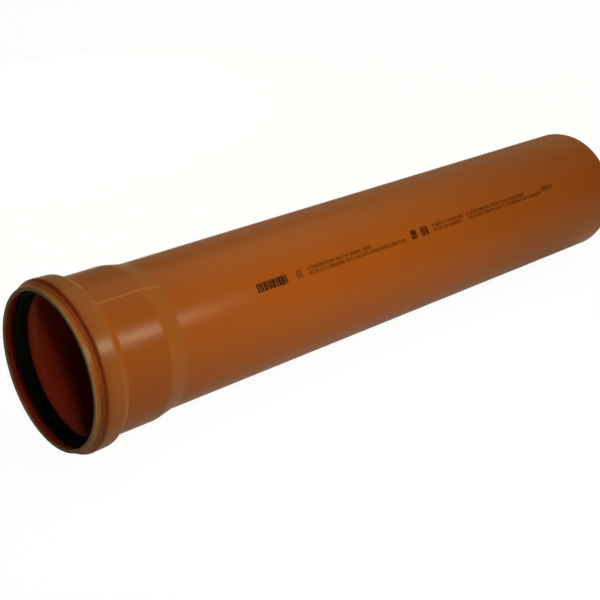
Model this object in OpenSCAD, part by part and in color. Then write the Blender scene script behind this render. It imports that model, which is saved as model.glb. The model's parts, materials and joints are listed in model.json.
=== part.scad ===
// Push-fit PVC sewer pipe: a plain pipe with a belled socket on one end, and the rubber seal in the socket's bead.
// Millimetres, +Z up. The pipe lies on the floor on its bead and its spigot end, with +X from socket to spigot.

/* [Pipe] */

// Outside diameter of the pipe and of its spigot
pipe_od = 110; // [75:5:160]
// Wall of the plain pipe
pipe_wall = 3.2; // [2.4:0.1:4.0]
// Length that one pipe adds to a run, from the back of its socket to its spigot's tip
laying_length = 500; // [250:50:1000]
// Length of the bevel on the spigot's tip
bevel_length = 4; // [2:0.5:6]
// Slope of that bevel against the pipe's side
bevel_angle = 15; // [10:1:20]

/* [Socket] */

// Wall of the lip, the bead and the socket, which were stretched from the pipe
socket_wall = 2.8; // [2.4:0.1:3.4]
// Play all round between the socket and the spigot pushed into it
socket_gap = 0.3; // [0.2:0.1:0.6]
// Straight stretch that guides the spigot
socket_straight = 36; // [20:1:60]
// Length over which the socket narrows to the pipe
shoulder_run = 15; // [10:1:25]
// Tight radius of the two bends at the ends of the shoulder
shoulder_bend = 12; // [5:1:20]

/* [Mouth lip] */

// Length of the lip in front of the bead
lip_length = 5.5; // [4:0.5:8]
// How much wider the lip's bore is than the socket, all round
lip_flare = 1.0; // [0.4:0.1:1.4]
// Rounding of the rim's two edges
rim_round = 0.5; // [0.2:0.1:0.8]
// Radius of the hollow between the lip and the bead
lip_bend = 1; // [0.6:0.2:2.0]

/* [Bead] */

// Depth of the seal's groove, from the socket's bore
groove_depth = 4.8; // [4.4:0.1:5.5]
// Length of the steep front flank
front_run = 2.8; // [2:0.2:4]
// Fall of the bead's broad crest from front to back
crest_drop = 0.4; // [0.2:0.1:1.2]
// Length of the gentler back flank
back_run = 5; // [4:0.5:14]
// Inside radius of the bead's front shoulder
bead_bend = 1.5; // [1:0.1:2]
// Tight radius of the two bends of the back flank
flank_bend = 3; // [2:1:6]

/* [Seal] */

// Air left between the seal and the groove
seal_gap = 0.2; // [0.1:0.05:0.4]
// Width of the seal's rim along the pipe
seal_width = 10; // [8:0.5:11]
// Thickness of the rim at its back
seal_rim = 2.2; // [1.6:0.1:2.6]
// How far the rim starts behind the groove's front corner
seal_setback = 1.2; // [0.8:0.1:2]
// Room in the groove behind the rim
seal_room = 0.8; // [0.6:0.1:6]
// How far the lip's free edge reaches inside the spigot's side
seal_squeeze = 2; // [1.2:0.1:2.6]
// Thickness of the lip at its free edge
seal_lip = 1.7; // [1.2:0.1:2.2]
// Depth of the hollow between rim and lip, from the rim's back
seal_hollow = 6.5; // [5:0.5:7.5]
// Rounding of the lip's edges
seal_round = 0.5; // [0.3:0.1:0.6]

/* [Hidden] */

$fn = 96;
arc_sag = 0.01;

pipe_color = [0.57, 0.28, 0.10];
seal_color = [0.03, 0.03, 0.03];

pipe_r = pipe_od / 2;
pipe_ri = pipe_r - pipe_wall;
socket_ri = pipe_r + socket_gap;
lip_ri = socket_ri + lip_flare;
groove_ri = socket_ri + groove_depth;
crest_length = seal_setback + seal_width + seal_room;
crest_start = lip_length + front_run;
crest_end = crest_start + crest_length;
socket_start = crest_end + back_run;
socket_end = socket_start + socket_straight;
socket_depth = socket_end + shoulder_run;
overall_length = socket_depth + laying_length;
tip_r = pipe_r - bevel_length * tan(bevel_angle);

// Sections are drawn as [radius, distance from the mouth], counter-clockwise.
function unit(v) = v / norm(v);
function turned(v, angle) = [v.x * cos(angle) - v.y * sin(angle), v.x * sin(angle) + v.y * cos(angle)];
function reversed(list) = [for (i = [len(list) - 1:-1:0]) list[i]];
function meet(a, b, c, d) = a + (b - a) * cross(c - a, d - c) / cross(b - a, d - c);

// The arc that rounds off the corner b between a and c, in steps that leave it by no more than arc_sag
function arc(a, b, c, radius) = let (
    half = acos(unit(a - b) * unit(c - b)) / 2,
    centre = b + unit(unit(a - b) + unit(c - b)) * radius / sin(half),
    start = b + unit(a - b) * radius / tan(half) - centre,
    bend = (180 - 2 * half) * sign(cross(b - a, c - b)),
    steps = ceil(abs(bend) / (2 * acos(1 - arc_sag / radius)))
) [for (k = [0:steps]) centre + turned(start, bend * k / steps)];

// A straight-sided outline with each corner rounded by its own radius
function rounded(points, rounds) = let (n = len(points)) [
    for (i = [0:n - 1])
        each rounds[i] > 0 ? arc(points[(i + n - 1) % n], points[i], points[(i + 1) % n], rounds[i]) : [points[i]]
];

// The pipe's inside from the mouth to the spigot's tip, and the tight radius of each bend between
inside = [
    [lip_ri, 0],
    [lip_ri, lip_length],
    [groove_ri, crest_start],
    [groove_ri - crest_drop, crest_end],
    [socket_ri, socket_start],
    [socket_ri, socket_end],
    [pipe_ri, socket_depth],
    [pipe_ri, overall_length]
];
bends = [lip_bend, bead_bend, flank_bend, flank_bend, shoulder_bend, shoulder_bend];
stretches = len(inside) - 1;

// The wall at the start and at the end of a stretch: it thickens to the pipe's along the shoulder
function wall(i) = [
    i < stretches - 1 ? socket_wall : pipe_wall,
    i < stretches - 2 ? socket_wall : pipe_wall
];

// The outside runs a wall's thickness from each inside stretch, and meets itself between them.
function outward(i) = -turned(unit(inside[i + 1] - inside[i]), 90);
function side(i) = [inside[i] + outward(i) * wall(i)[0], inside[i + 1] + outward(i) * wall(i)[1]];
function bulges(i) = cross(inside[i] - inside[i - 1], inside[i + 1] - inside[i]) > 0;
bent = [1:stretches - 1];
outside = [for (i = bent) meet(side(i - 1)[0], side(i - 1)[1], side(i)[0], side(i)[1])];
outside_rounds = [for (i = bent) bends[i - 1] + (bulges(i) ? wall(i)[0] : 0)];
inside_rounds = [for (i = bent) bends[i - 1] + (bulges(i) ? 0 : wall(i)[0])];

heel = [pipe_r, overall_length - bevel_length];
pipe_outline = rounded(
    concat([side(0)[0]], outside, [heel, [tip_r, overall_length]], reversed(inside)),
    concat([rim_round], outside_rounds, [0, 0, 0], reversed(inside_rounds), [rim_round])
);

// The seal's rim lies along the groove's crest, and its lip leans inwards, away from the mouth.
seal_front = crest_start + seal_setback;
seal_back = seal_front + seal_width;
seal_ri = pipe_r - seal_squeeze;
function rim_r(s) = groove_ri - crest_drop * (s - crest_start) / crest_length - seal_gap;
heel_r = rim_r(seal_back) - seal_rim;
seal_outline = rounded(
    [
        [lip_ri - seal_lip / 3, seal_front - seal_lip],
        [seal_ri, seal_back - 2 * seal_lip],
        [seal_ri + seal_lip, seal_back - seal_lip],
        [heel_r, seal_back - seal_hollow],
        [heel_r, seal_back],
        [rim_r(seal_back), seal_back],
        [rim_r(seal_front), seal_front]
    ],
    [seal_lip, seal_round, seal_round, seal_round, seal_round, seal_rim / 2, bead_bend]
);

// How the pipe lies: the floor touches the spigot where its bevel starts, and the bead.
rest_tilt = max([for (p = pipe_outline) if (p.y < socket_end) atan2(p.x - heel.x, heel.y - p.y)]);
rest_height = heel.y * sin(rest_tilt) + heel.x * cos(rest_tilt);
rest_start = min([for (p = pipe_outline) p.y * cos(rest_tilt) - p.x * sin(rest_tilt)]);
rest_end = max([for (p = pipe_outline) p.y * cos(rest_tilt) + p.x * sin(rest_tilt)]);

module at_rest() {
    translate([-(rest_start + rest_end) / 2, 0, rest_height]) rotate([0, 90 + rest_tilt, 0]) children();
}

module pipe() {
    color(pipe_color) at_rest() rotate_extrude() polygon(pipe_outline);
}

module seal_ring() {
    color(seal_color) at_rest() rotate_extrude() polygon(seal_outline);
}

pipe();
seal_ring();
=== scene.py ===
"""Push-fit sewer pipe: its visible pieces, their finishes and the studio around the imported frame."""
import json
import math
import random
from itertools import accumulate
from typing import NamedTuple

import bmesh
import bpy
from bpy.props import FloatProperty, FloatVectorProperty, IntProperty, PointerProperty
from mathutils import Matrix, Vector


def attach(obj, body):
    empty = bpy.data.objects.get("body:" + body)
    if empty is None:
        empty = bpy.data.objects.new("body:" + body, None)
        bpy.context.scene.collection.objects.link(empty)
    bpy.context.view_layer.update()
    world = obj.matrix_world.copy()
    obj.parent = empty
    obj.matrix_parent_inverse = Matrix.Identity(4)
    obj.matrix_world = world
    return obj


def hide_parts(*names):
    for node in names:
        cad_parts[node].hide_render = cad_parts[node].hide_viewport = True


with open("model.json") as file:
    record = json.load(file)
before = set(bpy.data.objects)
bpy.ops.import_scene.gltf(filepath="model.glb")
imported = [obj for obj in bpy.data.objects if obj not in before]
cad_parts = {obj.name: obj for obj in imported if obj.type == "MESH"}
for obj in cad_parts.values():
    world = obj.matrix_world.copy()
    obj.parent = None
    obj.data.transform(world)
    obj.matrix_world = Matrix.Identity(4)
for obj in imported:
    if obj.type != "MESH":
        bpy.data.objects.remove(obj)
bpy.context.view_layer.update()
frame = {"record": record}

bl_info = {
    "name": "Push-fit sewer pipe",
    "version": (1, 0, 0),
    "blender": (4, 5, 0),
    "location": "View3D > Sidebar > Sewer pipe",
    "description": "Builds a belled drain pipe with its seal, print and finishes around a packed frame",
    "category": "Add Mesh",
}

MM = 0.001
MOUNTS = {mount["name"]: mount for mount in frame["record"]["mounts"]}
AXIS = Vector(MOUNTS["spigot"]["axis"]).normalized()
ACROSS = Vector((0, -1, 0))
UPWARD = ACROSS.cross(AXIS)

# How finely the pieces are built.
ARC_SAG = 0.004 * MM
TURNED_FACETS = 192
STRAIGHT_STEP = 7 * MM
SEAM_FACETS = 12
PLATE_POINTS = {"Vertices X": 2, "Vertices Y": 4, "Vertices Z": 2}
WELD = 1e-7


def mm(*values):
    """Millimetres as metres."""
    return tuple(value * MM for value in values)


def length(name, millimetres, description):
    """A size in metres, given in millimetres."""
    return FloatProperty(
        name=name, description=description, default=millimetres * MM, unit="LENGTH", precision=5
    )


def turn(name, degrees, description):
    """An angle, given in degrees."""
    return FloatProperty(name=name, description=description, default=math.radians(degrees), subtype="ANGLE")


def point(name, default, description):
    """A place in the frame, in metres."""
    return FloatVectorProperty(name=name, description=description, default=default, unit="LENGTH")


def colour(name, default, description):
    """A surface colour, in scene-linear values."""
    return FloatVectorProperty(
        name=name, description=description, default=default, subtype="COLOR", size=3, min=0, max=1
    )


class PipeSizes(bpy.types.PropertyGroup):
    """Sizes of the pipe and its belled socket, as in its solid, and of the former's seams."""

    pipe_r: length("Pipe radius", MOUNTS["spigot"]["dims"]["r_mm"], "Outside radius of pipe and spigot")
    pipe_ri: length("Bore radius", MOUNTS["pipe_bore"]["dims"]["r_mm"], "Inside radius of the pipe")
    laying_length: length("Laying length", 500, "From the back of the socket to the spigot's tip")
    bevel_length: length("Bevel length", 4, "Length of the bevel on the spigot's tip")
    bevel_angle: turn("Bevel angle", 15, "Slope of the bevel")
    socket_wall: length("Socket wall", 2.8, "Wall of lip, bead and socket")
    socket_ri: length("Socket radius", 55.3, "Inside radius of the straight socket")
    socket_straight: length("Socket straight", 36, "Straight stretch that guides a spigot")
    shoulder_run: length("Shoulder", 15, "Length over which the socket narrows")
    shoulder_bend: length("Shoulder bends", 12, "Tight radius of the shoulder's two bends")
    lip_ri: length("Lip radius", MOUNTS["socket_mouth"]["dims"]["r_mm"], "Inside radius of the mouth's lip")
    lip_length: length("Lip length", 5.5, "Length of the lip in front of the bead")
    rim_round: length("Rim rounding", 0.5, "Rounding of the rim's edges")
    lip_bend: length("Lip hollow", 1, "Radius of the hollow between lip and bead")
    groove_ri: length("Groove radius", 60.1, "Inside radius of the seal's groove")
    front_run: length("Front flank", 2.8, "Length of the bead's steep front")
    crest_length: length("Crest", 12, "Length of the bead's crest")
    crest_drop: length("Crest fall", 0.4, "Fall of the crest from front to back")
    back_run: length("Back flank", 5, "Length of the bead's gentler back")
    bead_bend: length("Bead bend", 1.5, "Inside radius of the bead's front shoulder")
    flank_bend: length("Flank bends", 3, "Tight radius of the back flank's two bends")
    tip_round: length("Tip rounding", 0.25, "Rounding of the edges at the spigot's tip")
    seam_height: length("Seam height", 0.10, "How far the former's seam stands out of the socket")
    seam_width: length("Seam width", 2.2, "Width of the former's seam")
    seam_angle: turn("Seam angle", 27.2, "Turn of the seam from the top")


class SealSizes(bpy.types.PropertyGroup):
    """The rubber seal's sizes."""

    gap: length("Gap", 0.2, "Air between seal and groove")
    width: length("Width", 10, "Width of the rim along the pipe")
    rim: length("Rim", 2.2, "Thickness of the rim at its back")
    setback: length("Setback", 1.2, "Start of the rim behind the groove's front corner")
    squeeze: length("Squeeze", 2, "Reach of the lip inside the spigot's side")
    lip: length("Lip", 1.7, "Thickness of the lip at its free edge")
    hollow: length("Hollow", 6.5, "Depth of the hollow between rim and lip")
    edge_round: length("Edge rounding", 0.5, "Rounding of the lip's edges")


class PrintSizes(bpy.types.PropertyGroup):
    """The line of plain marks along the pipe."""

    start: length("Start", 149, "Distance of the first mark from the mouth")
    angle: turn("Angle", 53.7, "Turn of the print from the top")
    height: length("Height", 6.8, "Height of the heavy marks")
    film: length("Film", 0.03, "Thickness of the ink")
    seed: IntProperty(name="Seed", description="Seed of the marks' lengths", default=11)


class PipeColours(bpy.types.PropertyGroup):
    """Colours of the finishes."""

    pvc: colour("PVC", (0.304, 0.0660, 0.0052), "Body of the pipe")
    pvc_stretch: colour("Stretched", (0.260, 0.078, 0.0125), "PVC where the former widened it")
    pvc_cut: colour("Cut edge", (0.245, 0.165, 0.085), "Sawn rim and tip")
    # The inside of the pipe is coloured darker and redder than the outside.
    pvc_bore: colour("Bore", (0.330, 0.034, 0.0105), "Inside of the pipe, which daylight hasn't faded")
    # Painted light: a paler, more orange colour laid on the upper side of the bead's front behind the lip.
    pvc_painted_light: colour("Fresh", (0.600, 0.125, 0.025), "Bead's front behind the lip, which stayed bright")
    pvc_scuff: colour("Scuffs", (0.400, 0.140, 0.040), "Fine rubbed lines")
    rubber: colour("Rubber", (0.0016, 0.0015, 0.0012), "Seal")
    dust: colour("Dust", (0.016, 0.013, 0.009), "Dust on the seal")
    # Painted shade: a dark red laid in the hollow behind the lip, over the bead's front flank and inside the
    # mouth up to the seal.
    painted_shade: colour("Grime", (0.150, 0.0085, 0.0035), "Dirt in the hollow behind the lip")
    ink: colour("Ink", (0.020, 0.004, 0.001), "Printed marks")
    floor: colour("Floor", (0.66, 0.66, 0.64), "Studio floor")


class StudioSizes(bpy.types.PropertyGroup):
    """Camera and light."""

    eye: point("Eye", (-0.63842, -0.64093, 0.44649), "Place of the camera")
    aim: point("Aim", (0.00630, 0.06989, 0.0), "Point in the middle of the picture")
    lens: FloatProperty(name="Lens", description="Focal length in millimetres", default=71.456)
    sky: FloatProperty(name="Sky", description="Level of the light from all round", default=0.04)
    floor_reach: length("Floor", 8000, "Radius of the floor")
    wall_height: length("Backdrop", 2800, "Height of the backdrop")


class Value:
    """A node's output that takes part in Python arithmetic; each operation adds a Math node."""

    def __init__(self, graph, socket):
        self.graph = graph
        self.socket = socket

    def math(self, operation, *others):
        sockets = dict(enumerate((self, *others)))
        return self.graph.node("ShaderNodeMath", {"operation": operation}, sockets)

    def __add__(self, other):
        return self.math("ADD", other)

    __radd__ = __add__

    def __mul__(self, other):
        return self.math("MULTIPLY", other)

    __rmul__ = __mul__

    def __sub__(self, other):
        return self.math("SUBTRACT", other)

    def __rsub__(self, other):
        return self.graph.node("ShaderNodeMath", {"operation": "SUBTRACT"}, {0: other, 1: self})

    def __truediv__(self, other):
        return self.math("DIVIDE", other)

    def most(self, other):
        return self.math("MAXIMUM", other)

    def ramp(self, none, full):
        """0 at none, 1 at full, smooth between them and level beyond; none may be the larger."""
        sockets = {"Value": self, "From Min": none, "From Max": full}
        return self.graph.node("ShaderNodeMapRange", {"interpolation_type": "SMOOTHSTEP"}, sockets)

    def band(self, start, full, fading, end):
        """1 from full to fading, smoothly down to 0 at start and end."""
        return self.ramp(start, full) * self.ramp(end, fading)


class Graph:
    """Builds one node tree."""

    # A Mix node's sockets for colours, whose names its sockets for numbers have too.
    MIX_FIRST = 6
    MIX_SECOND = 7
    MIX_RESULT = 2

    def __init__(self, tree):
        self.tree = tree
        tree.nodes.clear()

    def node(self, kind, options=None, sockets=None, take=0):
        """Adds a node: its options first, then its sockets' values or links. Gives the outputs to take."""
        made = self.tree.nodes.new(kind)
        for name, value in (options or {}).items():
            setattr(made, name, value)
        for key, value in (sockets or {}).items():
            if isinstance(value, Value):
                self.tree.links.new(value.socket, made.inputs[key])
            else:
                made.inputs[key].default_value = value
        if isinstance(take, tuple):
            return [Value(self, made.outputs[key]) for key in take]
        return Value(self, made.outputs[take]) if len(made.outputs) else made

    def blend(self, factor, first, second):
        """A colour between two colours."""
        sockets = {0: factor, self.MIX_FIRST: as_rgba(first), self.MIX_SECOND: as_rgba(second)}
        return self.node("ShaderNodeMix", {"data_type": "RGBA"}, sockets, take=self.MIX_RESULT)

    def noise(self, spot, repeats, detail):
        """Smooth noise from 0 to 1 that repeats so often in a metre along, across and up the pipe."""
        scaled = self.node("ShaderNodeVectorMath", {"operation": "MULTIPLY"}, {0: spot, 1: repeats})
        return self.node("ShaderNodeTexNoise", sockets={"Vector": scaled, "Scale": 1.0, "Detail": detail})

    def bump(self, height, strength, depth):
        """A normal that follows a fine relief."""
        sockets = {"Strength": strength, "Distance": depth, "Height": height}
        return self.node("ShaderNodeBump", sockets=sockets)


def as_rgba(value):
    """A colour property as the four numbers that a colour socket takes; a Value passes through."""
    return value if isinstance(value, Value) else (*value, 1.0)


def weighed(weights, **patterns):
    """The weights' base and each pattern by its weight, added up."""
    total = weights["base"]
    for name, pattern in patterns.items():
        total = total + weights[name] * pattern
    return total


def settings():
    """The scene's own settings: pipe, seal, marks, colours, studio."""
    return bpy.context.scene.sewer_pipe


def mouth():
    """The middle of the mouth, on the pipe's axis."""
    lip = MOUNTS["socket_mouth"]
    inset = lip["dims"]["length_mm"] * MM / 2 + settings().pipe.rim_round
    return Vector(lip["pos_m"]) - AXIS * inset


def pipe_place():
    """Takes a point of the turned pieces (upward, across, along from the mouth) to the frame."""
    return Matrix.Translation(mouth()) @ Matrix((UPWARD, ACROSS, AXIS)).transposed().to_4x4()


class Stations(NamedTuple):
    """Distances from the mouth at which one stretch of the pipe ends and the next begins."""

    lip_end: float
    crest_start: float
    crest_end: float
    socket_start: float
    socket_end: float
    socket_back: float
    tip: float


def stations(size):
    """The pipe's stations, from its stretches in order."""
    socket = (size.lip_length, size.front_run, size.crest_length, size.back_run, size.socket_straight)
    return Stations(*accumulate((*socket, size.shoulder_run, size.laying_length)))


def meet(a, b, c, d):
    """Where the line a-b meets the line c-d."""
    along, other = b - a, d - c
    return a + along * ((c - a).cross(other) / along.cross(other))


def wall_corners(size):
    """Corners of the pipe's section as (radius, distance from the mouth), outside first, and roundings."""
    at = stations(size)
    inside = [
        Vector(corner)
        for corner in (
            (size.lip_ri, 0),
            (size.lip_ri, at.lip_end),
            (size.groove_ri, at.crest_start),
            (size.groove_ri - size.crest_drop, at.crest_end),
            (size.socket_ri, at.socket_start),
            (size.socket_ri, at.socket_end),
            (size.pipe_ri, at.socket_back),
            (size.pipe_ri, at.tip),
        )
    ]
    bends = (size.lip_bend, size.bead_bend, *[size.flank_bend] * 2, *[size.shoulder_bend] * 2)
    thin, thick = size.socket_wall, size.pipe_r - size.pipe_ri
    walls = [(thin, thin)] * 5 + [(thin, thick), (thick, thick)]
    sides = []
    for start, end, (wall_start, wall_end) in zip(inside, inside[1:], walls):
        along = (end - start).normalized()
        outward = Vector((along.y, -along.x))
        sides.append((start + outward * wall_start, end + outward * wall_end))
    outside, outer_rounds, inner_rounds = [sides[0][0]], [size.rim_round], []
    for i, bend in enumerate(bends, 1):
        bulges = (inside[i] - inside[i - 1]).cross(inside[i + 1] - inside[i]) > 0
        wall = walls[i][0]
        outside.append(meet(*sides[i - 1], *sides[i]))
        outer_rounds.append(bend + wall if bulges else bend)
        inner_rounds.append(bend if bulges else bend + wall)
    tip_r = size.pipe_r - size.bevel_length * math.tan(size.bevel_angle)
    ends = [Vector((size.pipe_r, at.tip - size.bevel_length)), Vector((tip_r, at.tip))]
    end_rounds = [size.rim_round, size.tip_round, size.tip_round]
    rounds = outer_rounds + end_rounds + inner_rounds[::-1] + [size.rim_round]
    return outside + ends + inside[::-1], rounds


# The seal's two fine ribs: where each starts on the lip's slope, and its rise as a share of the lip.
RIB_STARTS = (0.42, 0.66)
RIB_RISE = 0.16
# How far on from its start to the lip's edge a rib falls and ends.
RIB_FALL = 0.22
RIB_END = 0.3
# What is left of the rise at its fall, and the rounding of its bends, as shares of the rise.
RIB_FALL_RISE = 0.4
RIB_ROUND = 0.4


def seal_corners(size, pipe):
    """Corners of the seal's section and their roundings: its rim in the groove, its lip leaning in."""
    crest_start = stations(pipe).crest_start
    front = crest_start + size.setback
    back = front + size.width
    inner = pipe.pipe_r - size.squeeze

    def rim_r(s):
        return pipe.groove_ri - pipe.crest_drop * (s - crest_start) / pipe.crest_length - size.gap

    heel = rim_r(back) - size.rim
    nose = Vector((pipe.lip_ri - size.lip / 3, front - size.lip))
    edge = Vector((inner, back - 2 * size.lip))
    rise = size.lip * RIB_RISE
    points, rounds = [nose], [size.lip]
    for share in RIB_STARTS:
        start = nose.lerp(edge, share)
        crown = start + Vector((-rise, rise))
        fall = start.lerp(edge, RIB_FALL) + Vector((-rise * RIB_FALL_RISE, 0))
        points += [start, crown, fall, start.lerp(edge, RIB_END)]
        rounds += [rise * RIB_ROUND] * 4
    points += [
        edge,
        Vector((inner + size.lip, back - size.lip)),
        Vector((heel, back - size.hollow)),
        Vector((heel, back)),
        Vector((rim_r(back), back)),
        Vector((rim_r(front), front)),
    ]
    rounds += [size.edge_round] * 4 + [size.rim / 2, pipe.bead_bend]
    return points, rounds


def rounded(points, rounds):
    """A closed outline with each corner rounded by an arc, in steps that leave it by no more than ARC_SAG."""
    outline = []
    count = len(points)
    for i, (corner, radius) in enumerate(zip(points, rounds)):
        back = (points[i - 1] - corner).normalized()
        ahead = (points[(i + 1) % count] - corner).normalized()
        half = math.acos(max(-1, min(1, back.dot(ahead)))) / 2
        centre = corner + (back + ahead).normalized() * (radius / math.sin(half))
        spoke = corner + back * (radius / math.tan(half)) - centre
        bend = math.copysign(math.pi - 2 * half, -back.cross(ahead))
        steps = max(2, math.ceil(abs(bend) / (2 * math.acos(1 - ARC_SAG / radius))))
        outline += [centre + Matrix.Rotation(bend * k / steps, 2) @ spoke for k in range(steps + 1)]
    return outline


def tree_with_inputs(name, inputs):
    """A Geometry Nodes tree with a geometry input and output and the named inputs."""
    tree = bpy.data.node_groups.new(name, "GeometryNodeTree")
    tree.interface.new_socket("Geometry", in_out="INPUT", socket_type="NodeSocketGeometry")
    tree.interface.new_socket("Geometry", in_out="OUTPUT", socket_type="NodeSocketGeometry")
    for label, kind in inputs.items():
        tree.interface.new_socket(label, in_out="INPUT", socket_type=kind)
    graph = Graph(tree)
    names = ("Geometry", *inputs)
    return graph, dict(zip(names, graph.node("NodeGroupInput", take=names)))


def close_tree(graph, geometry, finish):
    """Ends a tree in Realize Instances and Set Material."""
    whole = graph.node("GeometryNodeRealizeInstances", sockets={"Geometry": geometry})
    dressed = graph.node("GeometryNodeSetMaterial", sockets={"Geometry": whole, "Material": finish})
    graph.node("NodeGroupOutput", sockets={"Geometry": dressed})
    return graph.tree


def turned_tree():
    """Turns a section about the pipe's axis, with the long straights cut into even lengths."""
    graph, given = tree_with_inputs(
        "turned_section",
        {
            "Path radius": "NodeSocketFloat",
            "Facets": "NodeSocketInt",
            "Spacing": "NodeSocketFloat",
            "Finish": "NodeSocketMaterial",
        },
    )
    section = graph.node("GeometryNodeMeshToCurve", sockets={"Mesh": given["Geometry"]})
    here = graph.node("GeometryNodeInputPosition")
    index = graph.node("GeometryNodeInputIndex")
    following = graph.node(
        "GeometryNodeOffsetPointInCurve", sockets={"Point Index": index, "Offset": 1}, take="Point Index"
    )
    there = graph.node(
        "GeometryNodeFieldAtIndex", {"data_type": "FLOAT_VECTOR"}, {"Value": here, "Index": following}
    )
    step = graph.node("ShaderNodeVectorMath", {"operation": "DISTANCE"}, {0: here, 1: there}, take="Value")
    cuts = (step / given["Spacing"]).math("FLOOR")
    section = graph.node("GeometryNodeSubdivideCurve", sockets={"Curve": section, "Cuts": cuts})
    path = graph.node(
        "GeometryNodeCurvePrimitiveCircle",
        sockets={"Resolution": given["Facets"], "Radius": given["Path radius"]},
    )
    path = graph.node("GeometryNodeSetCurveNormal", {"mode": "Z_UP"}, {"Curve": path})
    body = graph.node("GeometryNodeCurveToMesh", sockets={"Curve": path, "Profile Curve": section})
    body = graph.node("GeometryNodeSetShadeSmooth", sockets={"Geometry": body})
    return close_tree(graph, body, given["Finish"])


def swept_tree():
    """Sweeps a low round rib along a line in the plane through the pipe's axis and its top."""
    graph, given = tree_with_inputs(
        "swept_seam",
        {"Width": "NodeSocketFloat", "Height": "NodeSocketFloat", "Finish": "NodeSocketMaterial"},
    )
    path = graph.node("GeometryNodeMeshToCurve", sockets={"Mesh": given["Geometry"]})
    # The ring is one wide until it is scaled.
    ring = graph.node("GeometryNodeCurvePrimitiveCircle", sockets={"Resolution": SEAM_FACETS, "Radius": 0.5})
    scale = graph.node("ShaderNodeCombineXYZ", sockets={"X": given["Width"], "Y": given["Height"], "Z": 1.0})
    ring = graph.node("GeometryNodeTransform", sockets={"Geometry": ring, "Scale": scale})
    rib = graph.node(
        "GeometryNodeCurveToMesh", sockets={"Curve": path, "Profile Curve": ring, "Fill Caps": True}
    )
    rib = graph.node("GeometryNodeSetShadeSmooth", sockets={"Geometry": rib})
    return close_tree(graph, rib, given["Finish"])


def print_tree():
    """Lays one thin plate on each point of the flat layout, then wraps them all round the pipe."""
    graph, given = tree_with_inputs(
        "wrapped_marks",
        {"Radius": "NodeSocketFloat", "Angle": "NodeSocketFloat", "Finish": "NodeSocketMaterial"},
    )
    size = graph.node("GeometryNodeInputNamedAttribute", {"data_type": "FLOAT_VECTOR"}, {"Name": "mark_size"})
    plate = graph.node("GeometryNodeMeshCube", sockets={"Size": (1.0, 1.0, 1.0), **PLATE_POINTS})
    marks = graph.node(
        "GeometryNodeInstanceOnPoints",
        sockets={"Points": given["Geometry"], "Instance": plate, "Scale": size},
    )
    marks = graph.node("GeometryNodeRealizeInstances", sockets={"Geometry": marks})
    flat = graph.node("GeometryNodeInputPosition")
    along, round_it, out = graph.node("ShaderNodeSeparateXYZ", sockets={0: flat}, take=("X", "Y", "Z"))
    angle = given["Angle"] + round_it / given["Radius"]
    reach = given["Radius"] + out
    wrapped = graph.node(
        "ShaderNodeCombineXYZ",
        sockets={"X": reach * angle.math("COSINE"), "Y": reach * angle.math("SINE"), "Z": along},
    )
    marks = graph.node("GeometryNodeSetPosition", sockets={"Geometry": marks, "Position": wrapped})
    return close_tree(graph, marks, given["Finish"])


def points_object(name, points, edges, attributes=None):
    """An object of loose points and edges, for a tree to build on."""
    mesh = bpy.data.meshes.new(name)
    mesh.from_pydata([tuple(spot) for spot in points], edges, [])
    for label, values in (attributes or {}).items():
        layer = mesh.attributes.new(label, "FLOAT_VECTOR", "POINT")
        for item, value in zip(layer.data, values):
            item.vector = value
    piece = bpy.data.objects.new(name, mesh)
    bpy.context.scene.collection.objects.link(piece)
    return piece


def build(piece, tree, inputs, place):
    """Runs a tree on a piece and leaves its result as a plain mesh, set in the frame."""
    modifier = piece.modifiers.new("shape", "NODES")
    modifier.node_group = tree
    names = {item.name: item.identifier for item in tree.interface.items_tree if item.in_out == "INPUT"}
    for label, value in inputs.items():
        modifier[names[label]] = value
    graph = bpy.context.evaluated_depsgraph_get()
    mesh = bpy.data.meshes.new_from_object(piece.evaluated_get(graph), depsgraph=graph)
    piece.modifiers.remove(modifier)
    old, piece.data = piece.data, mesh
    bpy.data.meshes.remove(old)
    mesh.name = piece.name
    mesh.transform(place)
    shell = bmesh.new()
    shell.from_mesh(mesh)
    bmesh.ops.remove_doubles(shell, verts=shell.verts, dist=WELD)
    bmesh.ops.recalc_face_normals(shell, faces=shell.faces)
    shell.to_mesh(mesh)
    shell.free()
    if not mesh.polygons:
        raise RuntimeError(f"{piece.name} came out empty")


def turned_piece(name, outline, finish, attributes=None):
    """A closed section, as (radius, distance from the mouth), turned about the pipe's axis."""
    path_r = settings().pipe.pipe_r
    points = [(corner.x - path_r, -corner.y, 0) for corner in outline]
    edges = [(i, (i + 1) % len(points)) for i in range(len(points))]
    piece = points_object(name, points, edges, attributes)
    inputs = {"Path radius": path_r, "Facets": TURNED_FACETS, "Spacing": STRAIGHT_STEP, "Finish": finish}
    build(piece, turned_tree(), inputs, pipe_place())
    return piece


def material(name):
    """A new material and the graph of its nodes."""
    made = bpy.data.materials.new(name)
    made.use_nodes = True
    return made, Graph(made.node_tree)


def finish_surface(graph, sockets):
    """Ends a material in a Principled shader."""
    shader = graph.node("ShaderNodeBsdfPrincipled", sockets=sockets)
    graph.node("ShaderNodeOutputMaterial", sockets={"Surface": shader})


def pipe_coordinates(graph):
    """Object coordinates along the pipe from its mouth, across it and up, and the first and last alone."""
    tilt = math.asin(AXIS.z)
    start = -(Matrix.Rotation(tilt, 3, "Y") @ mouth())
    spot = graph.node("ShaderNodeTexCoord", take="Object")
    sockets = {"Vector": spot, "Location": start, "Rotation": (0, tilt, 0)}
    spot = graph.node("ShaderNodeMapping", {"vector_type": "POINT"}, sockets)
    along, upward = graph.node("ShaderNodeSeparateXYZ", sockets={0: spot}, take=("X", "Z"))
    return spot, along, upward


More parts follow.
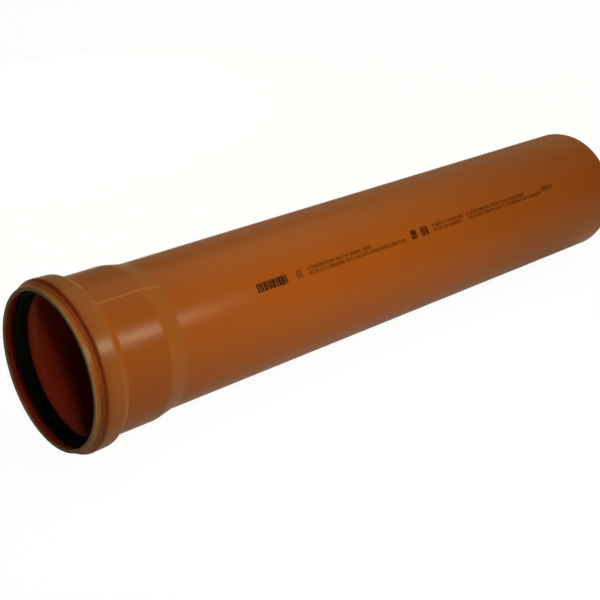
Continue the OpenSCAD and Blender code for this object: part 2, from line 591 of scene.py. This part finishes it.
# Patterns of the PVC: repeats in a metre along, across and up the pipe, and levels of detail.
DRAWN_LINES = ((5, 1500, 1500), 3)
BROAD_BANDS = ((1.6, 210, 210), 2)
PVC_CLOUDS = ((14, 30, 30), 3)
PVC_RUBS = ((48, 1900, 1900), 1)
SAW_MARKS = ((50, 900, 2600), 2)
RUBS_SHOW = (0.66, 0.76)
# Zones along the pipe, in metres from the mouth: a ramp from none to full, or a band from none to none.
SAWN_RIM = mm(1.6, 0.5)
BEAD = mm(25, 21)
SHOULDER = mm(59, 64, 74, 82)
HEATED = mm(23, 29, 60, 66)
# Painted light on the bead's front behind the lip, on its upper side.
PAINTED_LIGHT_STRIP = mm(3.6, 4.6, 5.6, 6.4)
# Painted shade: a dark line in the hollow behind the lip.
HOLLOW_SHADE = mm(5.5, 6.2, 7.2, 8.4)
# Painted shade: a fainter haze over the bead's front flank.
FLANK_SHADE = mm(6.5, 7, 8, 15)
# Painted shade inside the mouth, deepening towards the seal and ending at it.
GAP_DARKENS = mm(2, 7.5)
GAP_ENDS = mm(10, 9)
# The same from the tip back, and up from the axis.
SAWN_TIP = mm(0.3, 0.1)
PAINTED_LIGHT_SIDE = mm(-5, 20)
# How much of each tone shows, and how the patterns add up.
HEATED_SHADE = 0.08
STRETCHED_TONE = 0.6
# Strength of the painted light on the bead's front.
PAINTED_LIGHT_TONE = 0.70
# Strength of the painted shade on the bead's front flank.
FLANK_SHADE_TONE = 0.22
RUBS_TONE = 0.10
# Painted shade in the hollow behind the lip, clouded.
HOLLOW_SHADE_TONE = {"base": 0.66, "clouds": 0.2}
# Painted shade inside the mouth: its least level and its rise with depth.
GAP_SHADE_TONE = {"base": 0.25, "depth": 0.70}
CUT_TONE = {"base": 0.75, "saw": 0.25}
PVC_SHADE = {"base": 0.90, "clouds": 0.10, "bands": 0.07, "lines": 0.04}
PVC_ROUGH = {"base": 0.25, "lines": 0.05, "clouds": 0.04, "rubs": 0.06, "sawn": 0.25}
PVC_RELIEF = {"base": 0.0, "lines": 0.55, "bands": 0.45, "rubs": -0.4}
PVC_BUMP = (0.28, 0.05 * MM)
PVC_GLOSS = {"Specular IOR Level": 0.18, "IOR": 1.5}


def pvc_finish(name="drawn_pvc", wear=0.0):
    """Drawn PVC: fine lines along it, clouds, rubbed scratches, paler sawn ends, painted light and shade by
    the lip.
    """
    colours, tip = settings().colours, stations(settings().pipe).tip
    made, graph = material(name)
    spot, along, upward = pipe_coordinates(graph)
    bore = graph.node("ShaderNodeAttribute", {"attribute_name": "bore"}, take="Fac")
    lines = graph.noise(spot, *DRAWN_LINES)
    bands = graph.noise(spot, *BROAD_BANDS)
    clouds = graph.noise(spot, *PVC_CLOUDS)
    rubs = graph.noise(spot, *PVC_RUBS).ramp(*RUBS_SHOW)
    saw = graph.noise(spot, *SAW_MARKS)

    sawn = along.ramp(*SAWN_RIM).most(along.ramp(*(tip - before for before in SAWN_TIP)))
    stretched = along.ramp(*BEAD).most(along.band(*SHOULDER))
    # Painted light: the bead's front behind the lip is lightened on its upper side.
    painted_light = along.band(*PAINTED_LIGHT_STRIP) * upward.ramp(*PAINTED_LIGHT_SIDE)
    # Painted shade in the hollow behind the lip.
    line = along.band(*HOLLOW_SHADE) * weighed(HOLLOW_SHADE_TONE, clouds=clouds)
    # Painted shade over the bead's front flank.
    flank_shade = FLANK_SHADE_TONE * along.band(*FLANK_SHADE)
    # Painted shade inside the mouth up to the seal.
    gap = bore * weighed(GAP_SHADE_TONE, depth=along.ramp(*GAP_DARKENS)) * along.ramp(*GAP_ENDS)
    shade = weighed(PVC_SHADE, clouds=clouds, bands=bands, lines=lines)
    shade = shade * (1 - HEATED_SHADE * along.band(*HEATED))

    body = graph.blend(STRETCHED_TONE * stretched, colours.pvc, colours.pvc_stretch)
    body = graph.node("ShaderNodeVectorMath", {"operation": "SCALE"}, {0: body, "Scale": shade})
    body = graph.blend(bore, body, colours.pvc_bore)
    # Painted light on the bead's front behind the lip.
    body = graph.blend(PAINTED_LIGHT_TONE * painted_light * (1 - bore), body, colours.pvc_painted_light)
    # Painted shade in the hollow, over the bead's front flank and inside the mouth.
    body = graph.blend(line.most(flank_shade).most(gap), body, colours.painted_shade)
    body = graph.blend(RUBS_TONE * rubs + wear, body, colours.pvc_scuff)
    body = graph.blend(sawn * weighed(CUT_TONE, saw=saw), body, colours.pvc_cut)
    rough = weighed(PVC_ROUGH, lines=lines, clouds=clouds, rubs=rubs, sawn=sawn)
    relief = weighed(PVC_RELIEF, lines=lines, bands=bands, rubs=rubs) + sawn * saw
    normal = graph.bump(relief, *PVC_BUMP)
    finish_surface(graph, {"Base Color": body, "Roughness": rough, **PVC_GLOSS, "Normal": normal})
    return made


# Patterns and weights of the rubber, in the same form.
RUBBER_GRAIN = ((2600, 2600, 2600), 2)
RUBBER_CLOUDS = ((90, 90, 90), 3)
DUST_SPECKS = ((1300, 1300, 1300), 1)
SPECKS_SHOW = (0.68, 0.78)
DUST_TONE = {"base": 0.0, "specks": 0.25, "clouds": 0.08}
RUBBER_ROUGH = {"base": 0.50, "clouds": 0.14, "grain": 0.1}
RUBBER_BUMP = (0.3, 0.04 * MM)
RUBBER_GLOSS = {"Specular IOR Level": 0.15}


def rubber_finish():
    """Moulded black rubber with a fine grain and a trace of dust."""
    colours = settings().colours
    made, graph = material("moulded_rubber")
    spot, *_ = pipe_coordinates(graph)
    grain = graph.noise(spot, *RUBBER_GRAIN)
    clouds = graph.noise(spot, *RUBBER_CLOUDS)
    specks = graph.noise(spot, *DUST_SPECKS).ramp(*SPECKS_SHOW)
    body = graph.blend(weighed(DUST_TONE, specks=specks, clouds=clouds), colours.rubber, colours.dust)
    rough = weighed(RUBBER_ROUGH, clouds=clouds, grain=grain)
    normal = graph.bump(grain, *RUBBER_BUMP)
    finish_surface(graph, {"Base Color": body, "Roughness": rough, **RUBBER_GLOSS, "Normal": normal})
    return made


# Pattern and weights of the ink, in the same form.
INK_WEAR = ((700, 1100, 1100), 2)
WEAR_SHOWS = (0.50, 0.68)
WEAR_TONE = 0.45
INK_ROUGH = {"base": 0.40, "worn": 0.15}
INK_GLOSS = {"Specular IOR Level": 0.06}


def ink_finish():
    """Thin dark ink that has worn in places to the pipe's own colour."""
    colours = settings().colours
    made, graph = material("worn_ink")
    spot, *_ = pipe_coordinates(graph)
    strength = graph.node("ShaderNodeAttribute", {"attribute_name": "ink_strength"}, take="Fac")
    worn = graph.noise(spot, *INK_WEAR).ramp(*WEAR_SHOWS)
    body = graph.blend(strength * (1 - WEAR_TONE * worn), colours.pvc, colours.ink)
    rough = weighed(INK_ROUGH, worn=worn)
    finish_surface(graph, {"Base Color": body, "Roughness": rough, **INK_GLOSS})
    return made


class SEWERPIPE_OT_wall(bpy.types.Operator):
    """Build the pipe with its belled socket as one turned wall"""

    bl_idname = "sewerpipe.wall"
    bl_label = "Pipe wall"

    def execute(self, context):
        outline = rounded(*wall_corners(settings().pipe))
        # The section's way back from the tip is the bore.
        farthest = max(range(len(outline)), key=lambda i: outline[i].y)
        bore = [(float(i > farthest),) * 3 for i in range(len(outline))]
        piece = turned_piece("pipe_wall", outline, pvc_finish(), {"bore": bore})
        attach(piece, "root")
        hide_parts("pipe")
        return {"FINISHED"}


# The seams start at this share of the crest and run on past the shoulder; rubbing left them paler.
SEAM_START = 1 / 3
SEAM_OVERRUN = 3 * MM
SEAM_WEAR = 0.5
# Seams and marks are built twice as high as they stand out, because half of each lies in the wall.
BUILT_HEIGHT = 2


class SEWERPIPE_OT_seams(bpy.types.Operator):
    """Lay the two fine seams that the former left along the socket"""

    bl_idname = "sewerpipe.seams"
    bl_label = "Former seams"

    def execute(self, context):
        size = settings().pipe
        at = stations(size)
        outline = rounded(*wall_corners(size))
        first = at.crest_start + size.crest_length * SEAM_START
        last = at.socket_back + SEAM_OVERRUN
        reach = next(i for i, corner in enumerate(outline) if corner.y > last)
        points = [(corner.x, 0, corner.y) for corner in outline[:reach] if corner.y > first]
        edges = [(i, i + 1) for i in range(len(points) - 1)]
        tree = swept_tree()
        inputs = {
            "Width": size.seam_width,
            "Height": size.seam_height * BUILT_HEIGHT,
            "Finish": pvc_finish("rubbed_pvc", SEAM_WEAR),
        }
        for name, angle in (("seam_near", size.seam_angle), ("seam_far", size.seam_angle + math.pi)):
            piece = points_object(name, points, edges)
            build(piece, tree, inputs, pipe_place() @ Matrix.Rotation(angle, 4, "Z"))
            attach(piece, "root")
        return {"FINISHED"}


class SEWERPIPE_OT_seal(bpy.types.Operator):
    """Build the rubber lip seal in the bead"""

    bl_idname = "sewerpipe.seal"
    bl_label = "Seal ring"

    def execute(self, context):
        outline = rounded(*seal_corners(settings().seal, settings().pipe))
        piece = turned_piece("seal_body", outline, rubber_finish())
        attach(piece, "root")
        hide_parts("seal_ring")
        return {"FINISHED"}


# Heavy bars of the print, from and to in millimetres from its start; the later ones are taller by a factor.
FIRST_BARS = (0, 28)
LATER_BARS = ((161.5, 168), (173, 179.5))
LATER_BARS_HEIGHT = 1.1
BAR_WIDTHS = (1.1, 1.7, 2.6)
BAR_GAPS = (0.4, 0.7)
HEAVY_INK = 1.0
# One square mark that stands alone.
LONE_MARK = 41
LONE_MARK_SIDE = 6.0
LONE_INK = 0.45
# Two rows of fine dashes, each stretch with its side of the line; the last one lies between the rows.
DASH_ROWS = ((-1, 50, 118), (1, 50, 153), (-1, 188, 224), (1, 188, 224), (-1, 230, 305), (1, 230, 328))
LAST_DASHES = (331, 345)
LAST_DASHES_SIDE = -0.5
LAST_DASHES_HEIGHT = 1.5
ROW_OFFSET = 1.9 * MM
DASH_HEIGHT = 2.9 * MM
DASH_WIDTHS = (0.8, 2.2)
DASH_GAPS = (0.4, 0.5, 0.6, 1.5)
FINE_INK = 0.6


class SEWERPIPE_OT_marks(bpy.types.Operator):
    """Print a line of plain bars and dashes along the pipe"""

    bl_idname = "sewerpipe.marks"
    bl_label = "Printed marks"

    def execute(self, context):
        ink = settings().marks
        draw = random.Random(ink.seed)
        places, sizes, inks = [], [], []

        def mark(along, across, wide, high, strength):
            places.append((along, across, 0))
            sizes.append((wide, high, ink.film * BUILT_HEIGHT))
            inks.append((strength, strength, strength))

        def bars(first, last, high):
            at = ink.start + first * MM
            while at < ink.start + last * MM:
                wide = draw.choice(BAR_WIDTHS) * MM
                mark(at + wide / 2, 0, wide, high, HEAVY_INK)
                at += wide + draw.choice(BAR_GAPS) * MM

        def dashes(first, last, across, high):
            at = ink.start + first * MM
            while at < ink.start + last * MM:
                wide = draw.uniform(*DASH_WIDTHS) * MM
                mark(at + wide / 2, across, wide, high, FINE_INK)
                at += wide + draw.choice(DASH_GAPS) * MM

        bars(*FIRST_BARS, ink.height)
        mark(ink.start + LONE_MARK * MM, 0, LONE_MARK_SIDE * MM, LONE_MARK_SIDE * MM, LONE_INK)
        for side, first, last in DASH_ROWS:
            dashes(first, last, side * ROW_OFFSET, DASH_HEIGHT)
        for first, last in LATER_BARS:
            bars(first, last, ink.height * LATER_BARS_HEIGHT)
        dashes(*LAST_DASHES, LAST_DASHES_SIDE * ROW_OFFSET, LAST_DASHES_HEIGHT * DASH_HEIGHT)
        piece = points_object("printed_marks", places, [], {"mark_size": sizes, "ink_strength": inks})
        inputs = {"Radius": settings().pipe.pipe_r, "Angle": ink.angle, "Finish": ink_finish()}
        build(piece, print_tree(), inputs, pipe_place())
        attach(piece, "root")
        return {"FINISHED"}


class Lamp(NamedTuple):
    """A soft rectangular lamp, with its sides, place and aim in metres and its spread in degrees."""

    name: str
    watts: float
    tint: tuple
    sides: tuple
    place: tuple
    aim: tuple
    mirrored: bool
    spread: float = 180


WHITE = (1.0, 1.0, 1.0)
CREAM = (1.0, 0.97, 0.55)
WARM = (1.0, 0.95, 0.45)
PALE = (0.93, 0.96, 0.66)
LAMPS = (
    Lamp("room_lamp", 21.0, CREAM, (3.0, 3.0), (1.00, 0.50, 2.60), (1.00, 0.50, 0), True),
    Lamp("key_lamp", 0.76, PALE, (0.18, 0.062), (-0.090, -0.309, 0.280), (-0.090, 0, 0.06), True),
    Lamp("mouth_lamp", 0.044, WHITE, (0.06, 0.06), (-0.486, -0.541, 0.442), (-0.29, 0, 0.06), False, 40),
    Lamp("side_lamp", 0.74, WHITE, (0.25, 0.16), (0.16, -0.60, 0.14), (0.16, 0, 0.06), False),
    Lamp("top_lamp", 0.20, CREAM, (0.25, 0.25), (-0.09, -0.12, 0.60), (-0.07, 0, 0.06), False),
    Lamp("back_lamp", 3.2, WARM, (1.7, 1.7), (1.00, 0.80, 1.10), (0, 0, 0.06), True),
    Lamp("far_lamp", 4.5, CREAM, (0.6, 0.2), (0.0, 1.00, 0.14), (0, 0, 0.06), False),
    Lamp("end_lamp", 2.55, CREAM, (0.6, 0.6), (1.00, -0.25, 0.75), (0, 0, 0.06), False),
)
SENSOR_WIDTH = 36.0
# The floor's own glow, its colour in gloss, and its share of what the camera and what gloss sees.
FLOOR_GLOW = 1.08
MIRRORED_FLOOR = (1.0, 0.90, 0.70)
GLOW_SEEN = 0.88
GLOW_MIRRORED = 0.16
# The cove between floor and backdrop, as a share of the backdrop's height.
COVE_SHARE = 0.5
COVE_STEPS = 6
FLOOR_FACETS = 64
FLOOR_WELD = 1e-5


def floor_finish():
    """Pale floor that the camera sees as white and that still takes the pipe's shadow."""
    made, graph = material("studio_white")
    rays = ("Is Camera Ray", "Is Glossy Ray", "Is Transmission Ray")
    seen, mirrored, through = graph.node("ShaderNodeLightPath", take=rays)
    paint = graph.node("ShaderNodeBsdfDiffuse", sockets={"Color": as_rgba(settings().colours.floor)})
    shine = graph.blend(seen, MIRRORED_FLOOR, WHITE)
    glow = graph.node("ShaderNodeEmission", sockets={"Color": shine, "Strength": FLOOR_GLOW})
    share = GLOW_SEEN * seen + GLOW_MIRRORED * mirrored.most(through)
    surface = graph.node("ShaderNodeMixShader", sockets={0: share, 1: paint, 2: glow})
    graph.node("ShaderNodeOutputMaterial", sockets={"Surface": surface})
    return made


def looking(place, aim):
    """The turn of a lamp or camera at a place that points it at aim."""
    return (Vector(aim) - Vector(place)).to_track_quat("-Z", "Y").to_euler()


def photo_camera(studio):
    """A camera at the photo's viewing angle."""
    data = bpy.data.cameras.new("photo_camera")
    data.lens, data.sensor_width, data.sensor_fit = studio.lens, SENSOR_WIDTH, "HORIZONTAL"
    camera = bpy.data.objects.new("photo_camera", data)
    camera.location, camera.rotation_euler = studio.eye, looking(studio.eye, studio.aim)
    return camera


def studio_floor(studio):
    """A round floor that rises in a cove to the backdrop all round."""
    reach, high, cove = studio.floor_reach, studio.wall_height, studio.wall_height * COVE_SHARE
    arc = [math.pi / 2 * k / COVE_STEPS for k in range(COVE_STEPS + 1)]
    section = [(0.0, 0.0), (reach / 2, 0.0)]
    section += [(reach - cove + cove * math.sin(a), cove - cove * math.cos(a)) for a in arc]
    section += [(reach, high)]
    shell = bmesh.new()
    verts = [shell.verts.new((r, 0, z)) for r, z in section]
    edges = [shell.edges.new(pair) for pair in zip(verts, verts[1:])]
    bmesh.ops.spin(
        shell, geom=verts + edges, cent=(0, 0, 0), axis=(0, 0, 1), angle=math.tau, steps=FLOOR_FACETS
    )
    bmesh.ops.remove_doubles(shell, verts=shell.verts, dist=FLOOR_WELD)
    bmesh.ops.recalc_face_normals(shell, faces=shell.faces)
    mesh = bpy.data.meshes.new("studio_floor")
    shell.to_mesh(mesh)
    shell.free()
    mesh.shade_smooth()
    mesh.materials.append(floor_finish())
    return bpy.data.objects.new("studio_floor", mesh)


def studio_sky(studio):
    """A faint even light from all round."""
    world = bpy.data.worlds.new("studio_sky")
    world.use_nodes = True
    graph = Graph(world.node_tree)
    sky = graph.node("ShaderNodeBackground", sockets={"Color": as_rgba(WHITE), "Strength": studio.sky})
    graph.node("ShaderNodeOutputWorld", sockets={"Surface": sky})
    return world


def hung(lamp):
    """A lamp at its place, facing its aim; gloss shows it only where it is mirrored."""
    data = bpy.data.lights.new(lamp.name, "AREA")
    data.energy, data.color, data.shape = lamp.watts, lamp.tint, "RECTANGLE"
    data.size, data.size_y = lamp.sides
    data.spread = math.radians(lamp.spread)
    light = bpy.data.objects.new(lamp.name, data)
    light.location, light.rotation_euler = lamp.place, looking(lamp.place, lamp.aim)
    light.visible_glossy = lamp.mirrored
    return light


class SEWERPIPE_OT_stage(bpy.types.Operator):
    """Set the camera, the floor and the lamps"""

    bl_idname = "sewerpipe.stage"
    bl_label = "Studio"

    def execute(self, context):
        studio, scene = settings().studio, context.scene
        scene.view_settings.view_transform = "Standard"
        camera, floor = photo_camera(studio), studio_floor(studio)
        for item in (camera, floor, *map(hung, LAMPS)):
            scene.collection.objects.link(item)
        scene.camera = camera
        scene.world = studio_sky(studio)
        return {"FINISHED"}


class SEWERPIPE_PT_panel(bpy.types.Panel):
    """Lists the pieces of the sewer pipe"""

    bl_idname = "SEWERPIPE_PT_panel"
    bl_label = "Sewer pipe"
    bl_space_type = "VIEW_3D"
    bl_region_type = "UI"
    bl_category = "Sewer pipe"

    def draw(self, context):
        for operator in OPERATORS:
            self.layout.operator(operator.bl_idname)


class SewerPipe(bpy.types.PropertyGroup):
    """All settings of the sewer pipe"""

    pipe: PointerProperty(type=PipeSizes)
    seal: PointerProperty(type=SealSizes)
    marks: PointerProperty(type=PrintSizes)
    colours: PointerProperty(type=PipeColours)
    studio: PointerProperty(type=StudioSizes)


GROUPS = (PipeSizes, SealSizes, PrintSizes, PipeColours, StudioSizes, SewerPipe)
OPERATORS = (
    SEWERPIPE_OT_wall,
    SEWERPIPE_OT_seams,
    SEWERPIPE_OT_seal,
    SEWERPIPE_OT_marks,
    SEWERPIPE_OT_stage,
)


def register():
    for item in (*GROUPS, *OPERATORS, SEWERPIPE_PT_panel):
        bpy.utils.register_class(item)
    bpy.types.Scene.sewer_pipe = PointerProperty(type=SewerPipe)


def unregister():
    del bpy.types.Scene.sewer_pipe
    for item in reversed((*GROUPS, *OPERATORS, SEWERPIPE_PT_panel)):
        bpy.utils.unregister_class(item)


def main():
    register()
    for piece in ("wall", "seams", "seal", "marks", "stage"):
        getattr(bpy.ops.sewerpipe, piece)()


if __name__ == "__main__":
    main()
